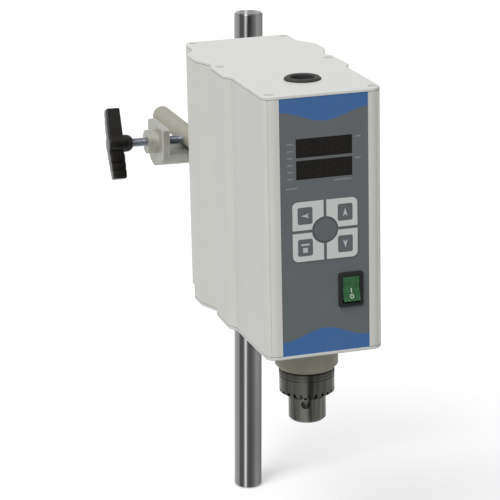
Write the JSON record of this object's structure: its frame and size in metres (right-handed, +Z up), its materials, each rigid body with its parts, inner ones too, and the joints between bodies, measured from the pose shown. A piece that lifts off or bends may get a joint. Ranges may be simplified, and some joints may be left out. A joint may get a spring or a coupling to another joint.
{
  "type": "overhead stirrer",
  "caption": "Bench-top overhead laboratory stirrer: extruded case with keypad and displays, hollow drive spindle, keyed chuck, and an arm clamped to a stand rod.",
  "frame": {"origin": "on the stirring shaft axis, level with the underside of the bottom cover", "axes": "+Z up the hollow spindle, +Y back from the control panel towards the stand, +X to the right seen from the front"},
  "size_m": [0.1719, 0.368, 0.3605],
  "materials": {
    "case_paint": "satin light grey paint",
    "cover_paint": "satin light grey paint",
    "grey_cast_paint": "rough beige-grey paint",
    "steel_screws": "plain steel",
    "bright_steel": "ground steel",
    "chuck_steel": "burnished dark steel",
    "panel_film": "printed satin film, grey with blue waves",
    "display_window": "smoked window",
    "key_film": "pale grey",
    "black_plastic": "black",
    "knob_plastic": "gloss black",
    "rocker_green": "translucent green",
    "black_rubber": "black",
    "aluminium_parts": "machined",
    "cast_aluminium": "blasted casting",
    "motor_paint": "black paint",
    "board_green": "green laminate",
    "brass_parts": "plain",
    "iron_core": "varnished iron",
    "zinc_steel": "bright zinc",
    "rod_chrome": "polished"
  },
  "bodies": {
    "stand": {"stand_rod": "rod_chrome"},
    "clamp": {"clamp_body": "cast_aluminium"},
    "head": {"case": "case_paint", "top_cover": "cover_paint", "bottom_cover": "cover_paint", "top_cover_screws": "steel_screws", "bottom_cover_screws": "steel_screws", "front_panel": "panel_film", "upper_display_window": "display_window", "lower_display_window": "display_window", "switch_body": "black_plastic", "shaft_hole_ring": "black_rubber", "bearing_housing": "grey_cast_paint", "bearing_housing_screws": "steel_screws", "bearing_outer_rings": "bright_steel", "drive_belt": "black_rubber", "drive_plate": "aluminium_parts", "drive_plate_posts": "bright_steel", "drive_plate_screws": "steel_screws", "motor_can": "motor_paint", "motor_end_bell": "aluminium_parts", "control_board": "board_green", "control_board_spacers": "brass_parts", "key_switches": "black_plastic", "display_modules": "black_plastic", "power_board": "board_green", "power_board_spacers": "brass_parts", "transformer": "iron_core", "mains_inlet": "black_plastic", "mains_inlet_pins": "brass_parts", "arm_flange": "grey_cast_paint", "arm_flange_screws": "steel_screws", "arm_backing_plate": "bright_steel", "arm_nut": "steel_screws", "support_arm": "grey_cast_paint"},
    "arm_pad": {"arm_clamp_pad": "zinc_steel"},
    "arm_screw": {"arm_clamp_screw": "zinc_steel", "arm_clamp_knob": "knob_plastic"},
    "rod_pad": {"rod_clamp_pad": "zinc_steel"},
    "rod_screw": {"rod_clamp_screw": "zinc_steel", "rod_clamp_knob": "knob_plastic"},
    "spindle": {"spindle": "bright_steel", "bearing_inner_rings": "bright_steel", "retaining_rings": "steel_screws", "spindle_pulley": "aluminium_parts", "chuck_body": "chuck_steel"},
    "motor_rotor": {"motor_shaft": "bright_steel", "motor_pulley": "aluminium_parts"},
    "chuck_sleeve": {"chuck_sleeve": "chuck_steel", "chuck_nut": "chuck_steel"},
    "jaw_1": {"chuck_jaw_1": "chuck_steel"},
    "jaw_2": {"chuck_jaw_2": "chuck_steel"},
    "jaw_3": {"chuck_jaw_3": "chuck_steel"},
    "left_key": {"left_key": "key_film"},
    "up_key": {"up_key": "key_film"},
    "start_stop_key": {"start_stop_key": "key_film"},
    "down_key": {"down_key": "key_film"},
    "mode_key": {"mode_key": "key_film"},
    "switch_rocker": {"switch_rocker": "rocker_green"}
  },
  "joints": [
    {"name": "clamp_height", "type": "slide", "parent": "stand", "child": "clamp", "axis": [0.0227, 0, 0.9997], "range_m": [-0.2, 0.06]},
    {"name": "arm_reach", "type": "slide", "parent": "clamp", "child": "head", "axis": [0, 1, 0], "range_m": [-0.05, 0.075]},
    {"name": "spindle_spin", "type": "hinge", "parent": "head", "child": "spindle", "pos_m": [0, 0, 0], "axis": [0, 0, 1], "continuous": true},
    {"name": "motor_spin", "type": "hinge", "parent": "head", "child": "motor_rotor", "pos_m": [0, 0.0592, 0.1], "axis": [0, 0, 1], "continuous": true},
    {"name": "chuck_turn", "type": "hinge", "parent": "spindle", "child": "chuck_sleeve", "pos_m": [0, 0, -0.03], "axis": [0, 0, 1], "range_deg": [0, 2160]},
    {"name": "jaw_1_slide", "type": "slide", "parent": "spindle", "child": "jaw_1", "axis": [-0.1731, 0.2356, -0.9563], "range_m": [0, 0.0174]},
    {"name": "jaw_2_slide", "type": "slide", "parent": "spindle", "child": "jaw_2", "axis": [-0.1175, -0.2677, -0.9563], "range_m": [0, 0.0174]},
    {"name": "jaw_3_slide", "type": "slide", "parent": "spindle", "child": "jaw_3", "axis": [0.2906, 0.0321, -0.9563], "range_m": [0, 0.0174]},
    {"name": "left_key_press", "type": "slide", "parent": "head", "child": "left_key", "axis": [0, 1, 0], "range_m": [0, 0.0004], "stiffness_N_per_m": 400},
    {"name": "up_key_press", "type": "slide", "parent": "head", "child": "up_key", "axis": [0, 1, 0], "range_m": [0, 0.0004], "stiffness_N_per_m": 400},
    {"name": "start_stop_key_press", "type": "slide", "parent": "head", "child": "start_stop_key", "axis": [0, 1, 0], "range_m": [0, 0.0004], "stiffness_N_per_m": 400},
    {"name": "down_key_press", "type": "slide", "parent": "head", "child": "down_key", "axis": [0, 1, 0], "range_m": [0, 0.0004], "stiffness_N_per_m": 400},
    {"name": "mode_key_press", "type": "slide", "parent": "head", "child": "mode_key", "axis": [0, 1, 0], "range_m": [0, 0.0004], "stiffness_N_per_m": 400},
    {"name": "switch_rock", "type": "hinge", "parent": "head", "child": "switch_rocker", "pos_m": [0.0157, -0.0364, 0.0401], "axis": [1, 0, 0], "range_deg": [0, 16]},
    {"name": "arm_screw_advance", "type": "slide", "parent": "clamp", "child": "arm_pad", "axis": [0.9997, 0, -0.0227], "range_m": [-0.004, 0]},
    {"name": "arm_screw_turn", "type": "hinge", "parent": "arm_pad", "child": "arm_screw", "pos_m": [-0.03999, 0.2472, 0.07031], "axis": [0.9997, 0, -0.0227], "range_deg": [-1440, 0]},
    {"name": "rod_screw_advance", "type": "slide", "parent": "clamp", "child": "rod_pad", "axis": [-0.9997, 0, 0.0227], "range_m": [-0.004, 0]},
    {"name": "rod_screw_turn", "type": "hinge", "parent": "rod_pad", "child": "rod_screw", "pos_m": [0.08198, 0.2472, 0.06754], "axis": [-0.9997, 0, 0.0227], "range_deg": [-1440, 0]}
  ],
  "couplings": [
    {"joint": "motor_spin", "follows": "spindle_spin", "ratio": 2},
    {"joint": "jaw_1_slide", "follows": "chuck_turn", "m_per_rad": 0.00046154},
    {"joint": "jaw_2_slide", "follows": "chuck_turn", "m_per_rad": 0.00046154},
    {"joint": "jaw_3_slide", "follows": "chuck_turn", "m_per_rad": 0.00046154},
    {"joint": "arm_screw_advance", "follows": "arm_screw_turn", "m_per_rad": 0.00015915},
    {"joint": "rod_screw_advance", "follows": "rod_screw_turn", "m_per_rad": 0.00015915}
  ]
}
